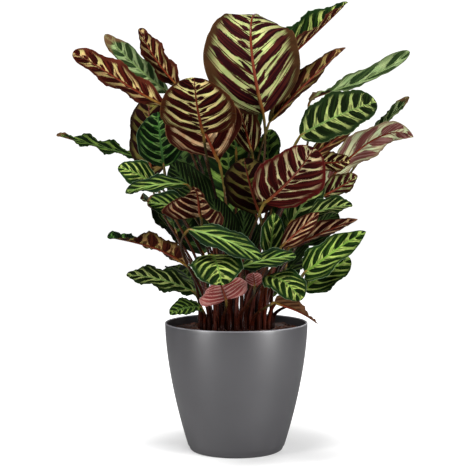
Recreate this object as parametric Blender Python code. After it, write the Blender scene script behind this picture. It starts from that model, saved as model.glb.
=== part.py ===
"""A potted calathea: a round plastic pot, the soil in it, and leaves that grow from the soil.

Metres, +Z up, the front towards -Y. The middle of the pot's foot is the origin.
"""

import math

import bpy
import numpy as np

# Pot
POT_HEIGHT = 0.196
POT_RIM_RADIUS = 0.109
POT_TAPER = 0.037
POT_TAPER_POWER = 1.68
POT_WALL = 0.003
POT_FLOOR = 0.005
POT_FOOT_ROUND = 0.004
POT_EDGE_ROUND = 0.0006
POT_OUTER_HEIGHTS = (0.0045, 0.030, 0.055, 0.085, 0.115, 0.145, 0.170, 0.1895)
POT_INNER_HEIGHTS = (0.170, 0.130, 0.090, 0.050, 0.020)
POT_SIDES = 48

# Soil
SOIL_TOP = 0.183
SOIL_RISE = 0.004
SOIL_BOTTOM = 0.0055
SOIL_GAP = 0.0008
SOIL_FOOT_GAP = 0.0005
SOIL_HEIGHTS = (0.020, 0.050, 0.090, 0.130, 0.170, 0.180)
SOIL_EDGE = (0.097, 0.182)
SOIL_SLOPE = (0.070, 0.185)
STEM_HOLE_DEPTH = 0.030
STEM_HOLE_GAP = 0.0006
STEM_HOLE_SIDES = 6
STEM_CLEAR = 0.196

# Leaves
BLADE_THICKNESS = 0.0011
STEM_RADIUS_FOOT = 0.0024
STEM_RADIUS_NECK = 0.0017
STEM_RING_RADII = (0.0, 0.0155, 0.0295, 0.0425, 0.0555)
STEM_RING_COUNTS = (1, 6, 12, 18, 24)
STEM_SPACING = 0.0115
STEM_UPRIGHT = 0.45
STEM_NECK = 0.3
STEM_NECK_LIFT = 0.9

# The leaves are laid out on the front view, on the upright plane through the pot's
# middle, and carried to their own depth along the line of sight, from an eye in front.
EYE_DISTANCE = 2.0
EYE_HEIGHT = 0.455

# Outline of a blade: how far out it is widest, and how full towards its base and its tip.
# A low first number puts the widest place near the base, and a low fullness is rounder.
ROUND = (0.95, 0.50, 0.45)
OVAL = (0.92, 0.60, 0.56)
STRAP = (0.92, 0.60, 0.42)
LONG = (0.88, 0.70, 0.80)
CROWN = (0.78, 0.58, 0.60)
BROAD = (0.60, 0.45, 0.70)
HEART = (0.55, 0.42, 1.40)
WEDGE = (1.25, 1.00, 0.50)
TIP_WIDE = (2.80, 0.55, 0.50)

# Each leaf, in mm and degrees: name, where the blade starts and ends (across, depth, up),
# the way its upper face looks (of any length), width, outline, arch near the base and near
# the tip, fold at the midrib, roll of the margins, twist of the tip, wave height and number.
LEAVES = [
    ("crown", (41, -18, 514), (41, 44, 654), (0, 10, 2), 148, CROWN, (0, 0), 12, 2, 0, 3, 2.0),
    ("front_left", (-50, -80, 483), (-64, -162, 568), (1, 8, 6), 116, ROUND, (-6, -14), 6, 14, 0, 3, 2.2),
    ("behind_left", (-26, -32, 440), (-66, -70, 536), (2, 9, 3), 126, WEDGE, (-4, -8), 8, 10, 0, 3, 2.0),
    ("right_front", (42, -114, 378), (118, -162, 462), (-3, 9, 4), 108, ROUND, (-6, -12), 6, 14, 0, 3, 2.1),
    ("behind_right", (36, -66, 361), (12, -90, 446), (3, 9, 2), 88, ROUND, (-4, -8), 8, 12, 0, 4, 2.3),
    ("top_right", (60, 64, 583), (168, 44, 681), (-4, -4, 8), 86, BROAD, (-1, -1), 38, 6, 0, 4, 2.6),
    ("fold_right", (50, 34, 500), (165, 46, 613), (3, 6, 6), 45, LONG, (2, 8), 44, 0, 20, 4, 2.2),
    ("curl_right", (110, 12, 518), (262, -6, 607), (-3, -5, 8), 35, TIP_WIDE, (0, 0), 26, 0, 40, 4, 2.6),
    ("broad_right", (97, -50, 480), (212, -58, 531), (-4, -8, 5), 84, ROUND, (6, 8), 18, 20, 0, 3, 3.0),
    ("thin_right", (199, 18, 467), (262, 6, 539), (-5, -6, 6), 24, STRAP, (0, 0), 30, 0, 20, 2, 2.0),
    ("dusk_right", (130, -6, 398), (269, 8, 478), (-3, 8, 5), 54, LONG, (20, 40), 10, 16, -20, 5, 2.4),
    ("narrow_right", (103, -38, 440), (190, -32, 503), (3, 8, 4), 32, LONG, (0, 4), 34, 0, 10, 3, 2.0),
    ("small_right", (118, -96, 440), (173, -108, 443), (0, 8, 5), 36, ROUND, (-2, -4), 8, 12, 0, 2, 2.0),
    ("split_right", (130, -60, 388), (184, -72, 420), (-3, 9, 3), 40, OVAL, (-2, -4), 20, 0, 0, 3, 2.0),
    ("low_pale_right", (110, -104, 360), (177, -116, 374), (1, -7, 7), 40, OVAL, (2, 6), 24, 0, 0, 3, 2.4),
    ("pale_behind", (82, -76, 348), (127, -70, 416), (5, -8, 3), 54, OVAL, (2, 4), 16, 0, 0, 4, 2.0),
    ("dark_right", (97, -34, 322), (155, -46, 362), (1, -8, 6), 64, ROUND, (4, 8), 12, 10, 0, 4, 2.0),
    ("fold_low_right", (68, -122, 311), (126, -136, 364), (4, 8, 3), 42, LONG, (-4, -2), 36, 0, 0, 2, 2.0),
    ("beak_right", (80, -110, 309), (185, -114, 353), (2, 8, 6), 34, LONG, (4, 4), 34, 0, -20, 2, 2.0),
    ("bright_right", (104, -142, 272), (198, -140, 334), (-2, -8, 5), 53, BROAD, (2, -4), 14, 10, 50, 5, 2.4),
    ("bright_low", (104, -108, 246), (174, -122, 293), (-1, -8, 5), 54, ROUND, (6, 6), 10, 16, 0, 4, 2.0),
    ("front_low_right", (48, -134, 267), (99, -186, 229), (2, -8, 6), 58, ROUND, (8, 14), 14, 20, 0, 3, 2.0),
    ("dry_right", (58, -118, 226), (126, -134, 191), (2, 5, 8), 36, HEART, (4, 6), 30, 0, 30, 2, 2.0),
    ("front_mid_right", (6, -134, 280), (91, -156, 296), (0, -8, 6), 34, STRAP, (4, 8), 20, 20, 0, 3, 2.5),
    ("front_bright", (-72, -138, 338), (38, -170, 292), (1, -8, 6), 44, STRAP, (8, 12), 12, 20, 0, 3, 2.4),
    ("front_drooping", (-38, -114, 299), (-22, -194, 252), (0, -6, 8), 82, ROUND, (8, 14), 10, 26, 0, 4, 2.0),
    ("pink_left", (-16, -112, 230), (-26, -150, 262), (-3, 8, 6), 80, ROUND, (0, 6), -14, 4, 0, 3, 2.0),
    ("pink_small", (28, -130, 251), (26, -144, 271), (0, 7, 6), 26, ROUND, (0, 2), 6, 0, 0, 1, 2.0),
    ("low_left", (-64, -60, 241), (-168, -72, 268), (-1, -6, 8), 50, STRAP, (8, 8), 16, 16, 10, 4, 2.8),
    ("mid_left", (-73, -32, 280), (-197, -50, 326), (-2, 6, 8), 46, STRAP, (16, 8), 30, 6, -90, 4, 3.0),
    ("small_low_left", (-54, -72, 218), (-102, -104, 207), (-1, -7, 7), 36, OVAL, (6, 6), 16, 0, 0, 2, 2.0),
    ("far_left", (-150, 92, 447), (-273, 66, 481), (0, -6, 8), 32, STRAP, (2, 0), 16, 0, 20, 5, 3.2),
    ("high_left", (-108, -32, 526), (-247, -48, 606), (4, 8, 4), 48, STRAP, (-8, 4), 22, 10, 20, 5, 2.8),
    ("grey_left", (-104, 38, 546), (-198, 50, 633), (-5, -6, 6), 37, STRAP, (-4, -5), 24, 40, 20, 5, 2.6),
    ("top_left", (-86, 16, 553), (-146, 18, 642), (5, 8, 3), 42, STRAP, (0, 4), 18, 10, 0, 5, 2.4),
    ("dark_left", (-129, 44, 416), (-132, 28, 545), (2, 10, 2), 66, OVAL, (-4, -6), 10, 10, 0, 4, 2.4),
    ("emerald", (-110, 2, 433), (-119, -6, 516), (-1, -10, 2), 74, OVAL, (4, 8), 12, 16, 0, 3, 2.2),
    ("green_left_a", (-122, -38, 404), (-180, -50, 432), (-1, -8, 6), 47, OVAL, (6, 8), 14, 10, 0, 3, 2.0),
    ("green_left_b", (-75, -76, 406), (-169, -88, 394), (0, -7, 7), 34, STRAP, (8, 6), 16, 0, 10, 3, 2.4),
    ("green_left_c", (-68, -52, 364), (-136, -66, 378), (0, -8, 6), 46, STRAP, (6, 6), 14, 0, 0, 3, 2.0),
    ("saddle", (-54, -101, 357), (-66, -139, 403), (4, 8, 6), 112, HEART, (2, 10), -26, 6, 0, 5, 2.0),
    ("striped_mid", (24, 2, 455), (3, 24, 538), (3, 9, 2), 48, OVAL, (-2, -4), 12, 10, 0, 3, 2.0),
    ("hanging_mid", (50, -96, 298), (58, -102, 362), (2, -9, 2), 40, OVAL, (2, 2), 14, 0, 0, 2, 2.0),
    ("fill_left", (-40, -25, 356), (-98, -25, 438), (-2, -9, 3), 66, OVAL, (2, 2), 12, 0, 0, 4, 2.0),
    ("fill_left_low", (-13, -64, 306), (-37, -72, 384), (1, -9, 2), 56, OVAL, (4, 4), 14, 0, 0, 3, 2.0),
    ("fill_centre", (8, -36, 282), (12, -34, 370), (1, -9, 2), 56, OVAL, (4, 4), 14, 0, 0, 3, 2.0),
    ("fill_right", (76, -6, 284), (96, -12, 352), (1, -9, 2), 50, OVAL, (4, 4), 14, 0, 0, 3, 2.0),
]

# Hidden from the front: the back and the sides of the clump.
BACK_LEAVES = [
    ("back_top", (0, 72, 450), (-6, 150, 590), (1, -8, 5), 84, ROUND, (6, 14), 8, 10, 0, 4, 2.2),
    ("back_right_top", (54, 102, 396), (52, 150, 490), (-4, -7, 6), 46, OVAL, (10, 16), 12, 10, 10, 4, 2.4),
    ("back_left_top", (-60, 102, 410), (-120, 188, 480), (4, -7, 6), 84, OVAL, (10, 16), 12, 10, -10, 4, 2.4),
    ("back_mid", (-5, 114, 330), (-14, 218, 470), (0, -8, 5), 110, OVAL, (8, 16), 10, 10, 0, 4, 2.4),
    ("back_mid_right", (50, 102, 300), (120, 204, 385), (-3, -7, 6), 88, OVAL, (10, 16), 12, 10, 0, 4, 2.4),
    ("back_mid_left", (-50, 102, 300), (-120, 204, 385), (3, -7, 6), 88, OVAL, (10, 16), 12, 10, 0, 4, 2.4),
    ("side_right", (84, 64, 330), (146, 150, 372), (-5, -3, 8), 70, OVAL, (12, 18), 14, 10, 0, 4, 2.4),
    ("side_left", (-92, 48, 334), (-140, 150, 380), (5, -3, 8), 70, OVAL, (12, 18), 14, 10, 0, 4, 2.4),
    ("back_low", (0, 96, 236), (0, 186, 316), (0, -8, 5), 88, OVAL, (8, 14), 12, 10, 0, 4, 2.4),
    ("back_low_right", (50, 72, 232), (108, 136, 294), (-4, -5, 7), 66, OVAL, (10, 14), 12, 10, 0, 4, 2.2),
    ("back_low_left", (-50, 72, 232), (-104, 144, 280), (4, -5, 7), 64, OVAL, (10, 14), 12, 10, 0, 4, 2.2),
]

# Blades whose curve is more than an arch: the two guide points between start and end, in mm.
GUIDES = {
    "crown": ((24, -50, 568), (7, -34, 698)),
    "fold_right": ((85, 36, 544), (132, 40, 584)),
    "curl_right": ((99, 14, 556), (168, 6, 530)),
    "bright_right": ((126, -156, 284), (161, -154, 318)),
    "dusk_right": ((160, -2, 443), (226, 4, 507)),
    "grey_left": ((-134, 42, 567), (-164, 46, 595)),
    "top_left": ((-110, 17, 578), (-133, 18, 606)),
}

# Each leaf is one skin over rings, given here as shares of the stalk's and the blade's length.
STEM_SIDES = 6
STEM_STATIONS = (0.0, 0.25, 0.5, 0.75, 0.985)
BLADE_STATIONS = (0.012, 0.085, 0.225, 0.40, 0.58, 0.76, 0.91, 0.99)
BLADE_COLUMNS = (-1.0, -0.55, 0.0, 0.55, 1.0)
CURVE_STEPS = 60
SECTION_STEPS = 8
TWIST_START = 0.4
SWELL = 0.9
SWELL_PHASES = (0.4, 0.8)
WAVE_PHASES = (0.15, 0.52)


def unit(vector):
    """The same direction with a length of one."""
    return vector / np.linalg.norm(vector)


def seen_from_front(point):
    """A point of the front view, in mm, at its own depth in metres."""
    across, depth, up = point
    scale = 1.0 + depth / 1000.0 / EYE_DISTANCE
    height = EYE_HEIGHT + (up / 1000.0 - EYE_HEIGHT) * scale
    return np.array([across / 1000.0 * scale, depth / 1000.0, height])


def bezier(points, t):
    """The place at t, from 0 to 1, on the curve of four points."""
    a, b, c, d = points
    s = 1.0 - t
    return s**3 * a + 3 * s * s * t * b + 3 * s * t * t * c + t**3 * d


def frames_along(points, facing, facing_at):
    """Places, directions and facing normals along a curve, with no twist of their own."""
    steps = [i / CURVE_STEPS for i in range(CURVE_STEPS + 1)]
    places = [bezier(points, t) for t in steps]
    ways = []
    for i in range(len(steps)):
        before = places[max(i - 1, 0)]
        after = places[min(i + 1, CURVE_STEPS)]
        ways.append(unit(after - before))
    normals = [None] * len(steps)
    middle = int(facing_at * CURVE_STEPS)
    normals[middle] = unit(facing - ways[middle] * facing.dot(ways[middle]))
    for i in range(middle + 1, len(steps)):
        last = normals[i - 1]
        normals[i] = unit(last - ways[i] * last.dot(ways[i]))
    for i in range(middle - 1, -1, -1):
        last = normals[i + 1]
        normals[i] = unit(last - ways[i] * last.dot(ways[i]))
    return places, ways, normals


def at(values, t):
    """The value at t, from 0 to 1, between the steps of a curve."""
    spot = t * CURVE_STEPS
    low = min(int(spot), CURVE_STEPS - 1)
    share = spot - low
    return values[low] * (1 - share) + values[low + 1] * share


def rotated(vector, axis, angle):
    """The vector turned about a unit axis."""
    turned = vector * math.cos(angle) + np.cross(axis, vector) * math.sin(angle)
    return turned + axis * axis.dot(vector) * (1 - math.cos(angle))


def half_width(leaf, t):
    """Half the blade's width in metres, narrowed where the leaf is nearer to the eye."""
    width = leaf[4] / 1000.0 * (1 + leaf[1][1] / 1000.0 / EYE_DISTANCE)
    shift, base_fullness, tip_fullness = leaf[5]
    widest = 0.5 ** (1 / shift)
    fullness = base_fullness if t < widest else tip_fullness
    return width / 2 * math.sin(math.pi * t**shift) ** fullness


def blade_curve(leaf):
    """The four points of the midrib's curve, and the way the blade's upper face looks."""
    start = seen_from_front(leaf[1])
    end = seen_from_front(leaf[2])
    chord = end - start
    facing = np.array(leaf[3], float)
    if leaf[0] in GUIDES:
        first, second = (seen_from_front(point) for point in GUIDES[leaf[0]])
        return (start, first, second, end), facing
    lift = unit(facing - unit(chord) * facing.dot(unit(chord)))
    near, far = leaf[6]
    first = start + chord * 0.33 + lift * near / 1000.0 * 1.33
    second = start + chord * 0.67 + lift * far / 1000.0 * 1.33
    return (start, first, second, end), facing


def blade_point(leaf, frames, t, across):
    """The middle of the blade's thickness, and the normal of its upper face."""
    places, ways, normals = frames
    fold, roll, twist, wave, waves = leaf[7:12]
    way = unit(at(ways, t))
    normal = unit(at(normals, t))
    past = max(0.0, (t - TWIST_START) / (1 - TWIST_START))
    normal = rotated(normal, way, math.radians(twist) * past**1.5)
    side = np.cross(way, normal)
    reach = abs(across)
    right = int(across > 0)
    hand = 1.0 if right else -1.0
    swell = math.sin(2 * math.pi * (waves * t + SWELL_PHASES[1 - right]))
    half = half_width(leaf, t) * (1 + SWELL * wave / leaf[4] * swell)
    # The section bends by the fold at the midrib and by the roll on its way to the margin.
    out, up = 0.0, 0.0
    for k in range(SECTION_STEPS):
        share = (k + 0.5) / SECTION_STEPS * reach
        angle = math.radians(fold - roll * share)
        out += math.cos(angle) * reach / SECTION_STEPS
        up += math.sin(angle) * reach / SECTION_STEPS
    # The waves lift the margins most and die away towards both ends of the blade.
    ruffle = math.sin(2 * math.pi * (waves * t + WAVE_PHASES[1 - right]))
    ruffle *= wave / 1000.0 * reach**2 * math.sin(math.pi * min(max(t, 0.02), 0.98)) ** 0.5
    slope = math.radians(fold - roll * reach) * hand
    place = at(places, t) + side * hand * out * half + normal * (up * half + ruffle)
    return place, unit(normal * math.cos(slope) - side * math.sin(slope))


def blade_ring(leaf, frames, t):
    """A section of the blade: its upper face from left to right, then its underside back."""
    upper, lower = [], []
    for across in BLADE_COLUMNS:
        place, normal = blade_point(leaf, frames, t, across)
        upper.append(place + normal * BLADE_THICKNESS / 2)
        lower.append(place - normal * BLADE_THICKNESS / 2)
    return upper + lower[::-1]


def stem_ring(place, way, normal, radius):
    """A six-sided section of the stalk, its first point towards the blade's left margin."""
    side = np.cross(way, normal)
    ring = []
    for k in range(STEM_SIDES):
        angle = math.pi - 2 * math.pi * k / STEM_SIDES
        ring.append(place + side * radius * math.cos(angle) + normal * radius * math.sin(angle))
    return ring


def stem_curve(root, start, way):
    """From just above the soil, where the stalk is upright, to the foot of the blade."""
    foot = np.array([root[0], root[1], STEM_CLEAR])
    away = np.linalg.norm(start - foot)
    neck = unit(way + np.array([0.0, 0.0, STEM_NECK_LIFT]))
    rise = np.array([0.0, 0.0, STEM_UPRIGHT * (start[2] - foot[2])])
    return foot, foot + rise, start - neck * away * STEM_NECK, start


def joined(low, high, first_low, first_high):
    """Triangles between two rings of points, which may differ in number."""
    faces = []
    i, j = 0, 0
    while i < low or j < high:
        a, b = first_low + i % low, first_high + j % high
        if j == high or (i < low and (i + 1) * high <= (j + 1) * low):
            faces.append((a, first_low + (i + 1) % low, b))
            i += 1
        else:
            faces.append((a, first_high + (j + 1) % high, b))
            j += 1
    return faces


def closed_mesh(rings):
    """One closed skin over the rings, with both faces split along the same diagonals."""
    points, firsts = [], []
    for ring in rings:
        firsts.append(len(points))
        points.extend(tuple(p) for p in ring)
    faces = []
    for i in range(len(rings) - 1):
        low, high = len(rings[i]), len(rings[i + 1])
        if low != high or low == STEM_SIDES:
            faces.extend(joined(low, high, firsts[i], firsts[i + 1]))
            continue
        half = low // 2
        for j in range(low):
            k = (j + 1) % low
            a, b = firsts[i] + j, firsts[i] + k
            c, d = firsts[i + 1] + j, firsts[i + 1] + k
            if j < half:
                faces.extend([(a, d, c), (a, b, d)])
            else:
                faces.extend([(a, b, c), (c, b, d)])
    faces.append(tuple(reversed(range(STEM_SIDES))))
    last, count = firsts[-1], len(rings[-1])
    for j in range(count // 2 - 1):
        near, far = last + j, last + count - 1 - j
        faces.append((near, near + 1, far - 1, far))
    return points, faces


def leaf_rings(leaf, root):
    """All sections of one leaf, from the stalk's foot in its hole to the blade's tip."""
    points, facing = blade_curve(leaf)
    frames = frames_along(points, facing, 0.5)
    places, ways, normals = frames
    stem = stem_curve(root, places[0], ways[0])
    stem_places, stem_ways, stem_normals = frames_along(stem, normals[0], 1.0)
    upright = np.array([0.0, 0.0, 1.0])
    level = unit(stem_normals[0] * np.array([1.0, 1.0, 0.0]))
    foot = np.array([root[0], root[1], SOIL_TOP - STEM_HOLE_DEPTH + STEM_HOLE_GAP])
    rings = [stem_ring(foot, upright, level, STEM_RADIUS_FOOT)]
    for t in STEM_STATIONS:
        radius = STEM_RADIUS_FOOT + (STEM_RADIUS_NECK - STEM_RADIUS_FOOT) * t
        way = upright if t == 0 else unit(at(stem_ways, t))
        normal = at(stem_normals, t)
        normal = unit(normal - way * way.dot(normal))
        rings.append(stem_ring(at(stem_places, t), way, normal, radius))
    for t in BLADE_STATIONS:
        rings.append(blade_ring(leaf, frames, t))
    return rings


def spread_round(angles, gap):
    """Angles in rising order, moved apart until each is a gap from the next one round."""
    angles = list(angles)
    for _ in range(200):
        for i in range(len(angles)):
            after = (i + 1) % len(angles)
            turn = 2 * math.pi if after == 0 else 0.0
            short = gap - (angles[after] + turn - angles[i])
            if len(angles) > 1 and short > 0:
                angles[i] -= short / 2
                angles[after] += short / 2
    return angles


def give_roots(leaves):
    """The steepest leaves stand in the middle, and each ring goes round in their order."""
    def steepness(leaf):
        start = seen_from_front(leaf[1])
        return (start[2] - SOIL_TOP) / (math.hypot(start[0], start[1]) + 0.01)

    order = sorted(leaves, key=steepness, reverse=True)
    roots = {}
    taken = 0
    for radius, room in zip(STEM_RING_RADII, STEM_RING_COUNTS):
        ring = order[taken:taken + room]
        taken += room
        if not ring:
            break
        sides = {}
        for leaf in ring:
            start = seen_from_front(leaf[1])
            sides[leaf[0]] = math.atan2(start[1], start[0])
        ring.sort(key=lambda leaf: sides[leaf[0]])
        gap = STEM_SPACING / max(radius, 0.001)
        angles = spread_round([sides[leaf[0]] for leaf in ring], gap)
        for leaf, angle in zip(ring, angles):
            roots[leaf[0]] = (radius * math.cos(angle), radius * math.sin(angle))
    return roots


def material(name, colour, roughness, metallic=0.0):
    made = bpy.data.materials.new(name)
    made.use_nodes = True
    surface = made.node_tree.nodes["Principled BSDF"]
    surface.inputs["Base Color"].default_value = (*colour, 1.0)
    surface.inputs["Roughness"].default_value = roughness
    surface.inputs["Metallic"].default_value = metallic
    return made


def add_object(name, points, faces, made_of, smooth=True):
    mesh = bpy.data.meshes.new(name)
    mesh.from_pydata([tuple(p) for p in points], [], faces)
    mesh.update()
    if smooth:
        for face in mesh.polygons:
            face.use_smooth = True
    mesh.materials.append(made_of)
    made = bpy.data.objects.new(name, mesh)
    bpy.context.scene.collection.objects.link(made)
    return made


def turned(name, profile, made_of):
    """A closed solid of revolution. The profile starts and ends on the axis."""
    points, rings = [], []
    for radius, height in profile:
        if radius == 0:
            rings.append([len(points)] * POT_SIDES)
            points.append((0, 0, height))
            continue
        rings.append(list(range(len(points), len(points) + POT_SIDES)))
        for k in range(POT_SIDES):
            angle = 2 * math.pi * k / POT_SIDES
            points.append((radius * math.cos(angle), radius * math.sin(angle), height))
    faces = []
    for low, high in zip(rings, rings[1:]):
        for k in range(POT_SIDES):
            n = (k + 1) % POT_SIDES
            corners = [low[k], low[n], high[n], high[k]]
            face = [c for i, c in enumerate(corners) if c != corners[i - 1]]
            faces.append(face)
    return add_object(name, points, faces, made_of)


def pot_radius(height):
    """The outside radius: nearly upright at the rim, and drawn in more and more below."""
    return POT_RIM_RADIUS - POT_TAPER * (1 - height / POT_HEIGHT) ** POT_TAPER_POWER


def pot():
    """One turned wall: foot, outside, a rim rounded over, inside and floor."""
    profile = [(0, 0), (pot_radius(0) - POT_FOOT_ROUND, 0)]
    profile.append((pot_radius(0) - POT_FOOT_ROUND / 4, POT_FOOT_ROUND * 0.3))
    for height in POT_OUTER_HEIGHTS:
        profile.append((pot_radius(height), height))
    profile.append((POT_RIM_RADIUS - POT_EDGE_ROUND, POT_HEIGHT - POT_EDGE_ROUND))
    profile.append((POT_RIM_RADIUS - POT_WALL / 2, POT_HEIGHT))
    profile.append((POT_RIM_RADIUS - POT_WALL, POT_HEIGHT - POT_EDGE_ROUND))
    for height in POT_INNER_HEIGHTS:
        profile.append((pot_radius(height) - POT_WALL, height))
    profile.append((pot_radius(POT_FLOOR) - 2 * POT_WALL, POT_FLOOR))
    profile.append((0, POT_FLOOR))
    return turned("pot", profile, material("pot_plastic", (0.12, 0.12, 0.125), 0.45))


def soil(roots):
    """The mound that fills the pot, with a plain hole for each stalk."""
    profile = [(0, SOIL_BOTTOM)]
    profile.append((pot_radius(POT_FLOOR) - 2 * POT_WALL - SOIL_FOOT_GAP, SOIL_BOTTOM))
    for height in SOIL_HEIGHTS:
        profile.append((pot_radius(height) - POT_WALL - SOIL_GAP, height))
    profile.append(SOIL_EDGE)
    profile.append(SOIL_SLOPE)
    profile.append((0, SOIL_TOP + SOIL_RISE))
    block = turned("soil", profile, material("bark_soil", (0.035, 0.018, 0.012), 0.95))
    sides = STEM_HOLE_SIDES
    radius = (STEM_RADIUS_FOOT + STEM_HOLE_GAP) / math.cos(math.pi / sides)
    points, faces = [], []
    for x, y in roots.values():
        first = len(points)
        for height in (SOIL_TOP - STEM_HOLE_DEPTH, SOIL_TOP + STEM_HOLE_DEPTH):
            for k in range(sides):
                angle = 2 * math.pi * k / sides
                points.append((x + radius * math.cos(angle), y + radius * math.sin(angle), height))
        faces.append([first + sides - 1 - k for k in range(sides)])
        faces.append([first + sides + k for k in range(sides)])
        for k in range(sides):
            n = (k + 1) % sides
            faces.append([first + k, first + n, first + sides + n, first + sides + k])
    cutter = add_object("stem_holes", points, faces, block.data.materials[0], smooth=False)
    cutter.hide_render = True
    cutter.display_type = "WIRE"
    cut = block.modifiers.new("stem_holes", "BOOLEAN")
    cut.operation = "DIFFERENCE"
    cut.solver = "EXACT"
    cut.object = cutter
    return block


def main():
    for old in list(bpy.data.objects):
        bpy.data.objects.remove(old, do_unlink=True)
    leaves = LEAVES + BACK_LEAVES
    roots = give_roots(leaves)
    pot()
    soil(roots)
    green = material("leaf_green", (0.06, 0.16, 0.03), 0.45)
    for leaf in leaves:
        points, faces = closed_mesh(leaf_rings(leaf, roots[leaf[0]]))
        add_object("leaf_" + leaf[0], points, faces, green)


main()
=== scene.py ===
"""Studio picture of a potted calathea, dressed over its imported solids.

Metres, +Z up, the front towards -Y, the middle of the pot's foot at the origin. The image is
470 x 470 pixels.
"""

import math

import bpy
import mathutils
import numpy as np
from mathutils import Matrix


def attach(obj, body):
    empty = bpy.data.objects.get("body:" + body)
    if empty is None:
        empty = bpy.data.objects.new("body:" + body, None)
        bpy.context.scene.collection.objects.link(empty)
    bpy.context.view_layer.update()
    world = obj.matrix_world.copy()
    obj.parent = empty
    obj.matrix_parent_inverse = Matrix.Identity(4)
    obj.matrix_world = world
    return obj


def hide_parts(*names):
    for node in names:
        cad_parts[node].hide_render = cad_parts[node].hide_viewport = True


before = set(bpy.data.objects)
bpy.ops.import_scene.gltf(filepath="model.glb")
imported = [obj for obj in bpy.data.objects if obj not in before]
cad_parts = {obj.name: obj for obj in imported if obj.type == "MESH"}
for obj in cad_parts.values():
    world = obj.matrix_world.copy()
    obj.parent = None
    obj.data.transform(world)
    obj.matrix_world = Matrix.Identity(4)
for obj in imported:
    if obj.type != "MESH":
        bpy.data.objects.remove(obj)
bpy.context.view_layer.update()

# Sizes of the pot and the stalks, which the solids have too.
POT_HEIGHT = 0.196
POT_RIM_RADIUS = 0.109
POT_TAPER = 0.037
POT_TAPER_POWER = 1.68
POT_WALL = 0.003
POT_FLOOR = 0.005
FOOT_ROUND = 0.0045
RIM_ROUND = 0.0012
SOIL_TOP = 0.183
STEM_CLEAR = 0.196
STEM_RADIUS_FOOT = 0.0024
STEM_RADIUS_NECK = 0.0017
STEM_RING_RADII = (0.0, 0.0155, 0.0295, 0.0425, 0.0555)
STEM_RING_COUNTS = (1, 6, 12, 18, 24)
STEM_SPACING = 0.0115
STEM_UPRIGHT = 0.45
STEM_NECK = 0.3
STEM_NECK_LIFT = 0.9

# The leaves are laid out on the front view, on the upright plane through the pot's
# middle, and carried to their own depth along the line of sight, from an eye in front.
EYE_DISTANCE = 2.0
EYE_HEIGHT = 0.455

# The camera stands at that eye. Its focal length and the row that it looks at are in pixels.
IMAGE_WIDTH = 470
FOCAL_LENGTH = 1314
CENTRE_ROW = 235
LEVEL_ROW = 152.3
EYE_ACROSS = -0.002
SENSOR_WIDTH = 36
LAMPS_AIM = (0, 0, 0.32)

# Outline of a blade: how far out it is widest, and how full towards its base and its tip.
# A low first number puts the widest place near the base, and a low fullness is rounder.
ROUND = (0.95, 0.50, 0.45)
OVAL = (0.92, 0.60, 0.56)
STRAP = (0.92, 0.60, 0.42)
LONG = (0.88, 0.70, 0.80)
CROWN = (0.78, 0.58, 0.60)
BROAD = (0.60, 0.45, 0.70)
HEART = (0.55, 0.42, 1.40)
WEDGE = (1.25, 1.00, 0.50)
TIP_WIDE = (2.80, 0.55, 0.50)

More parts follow.
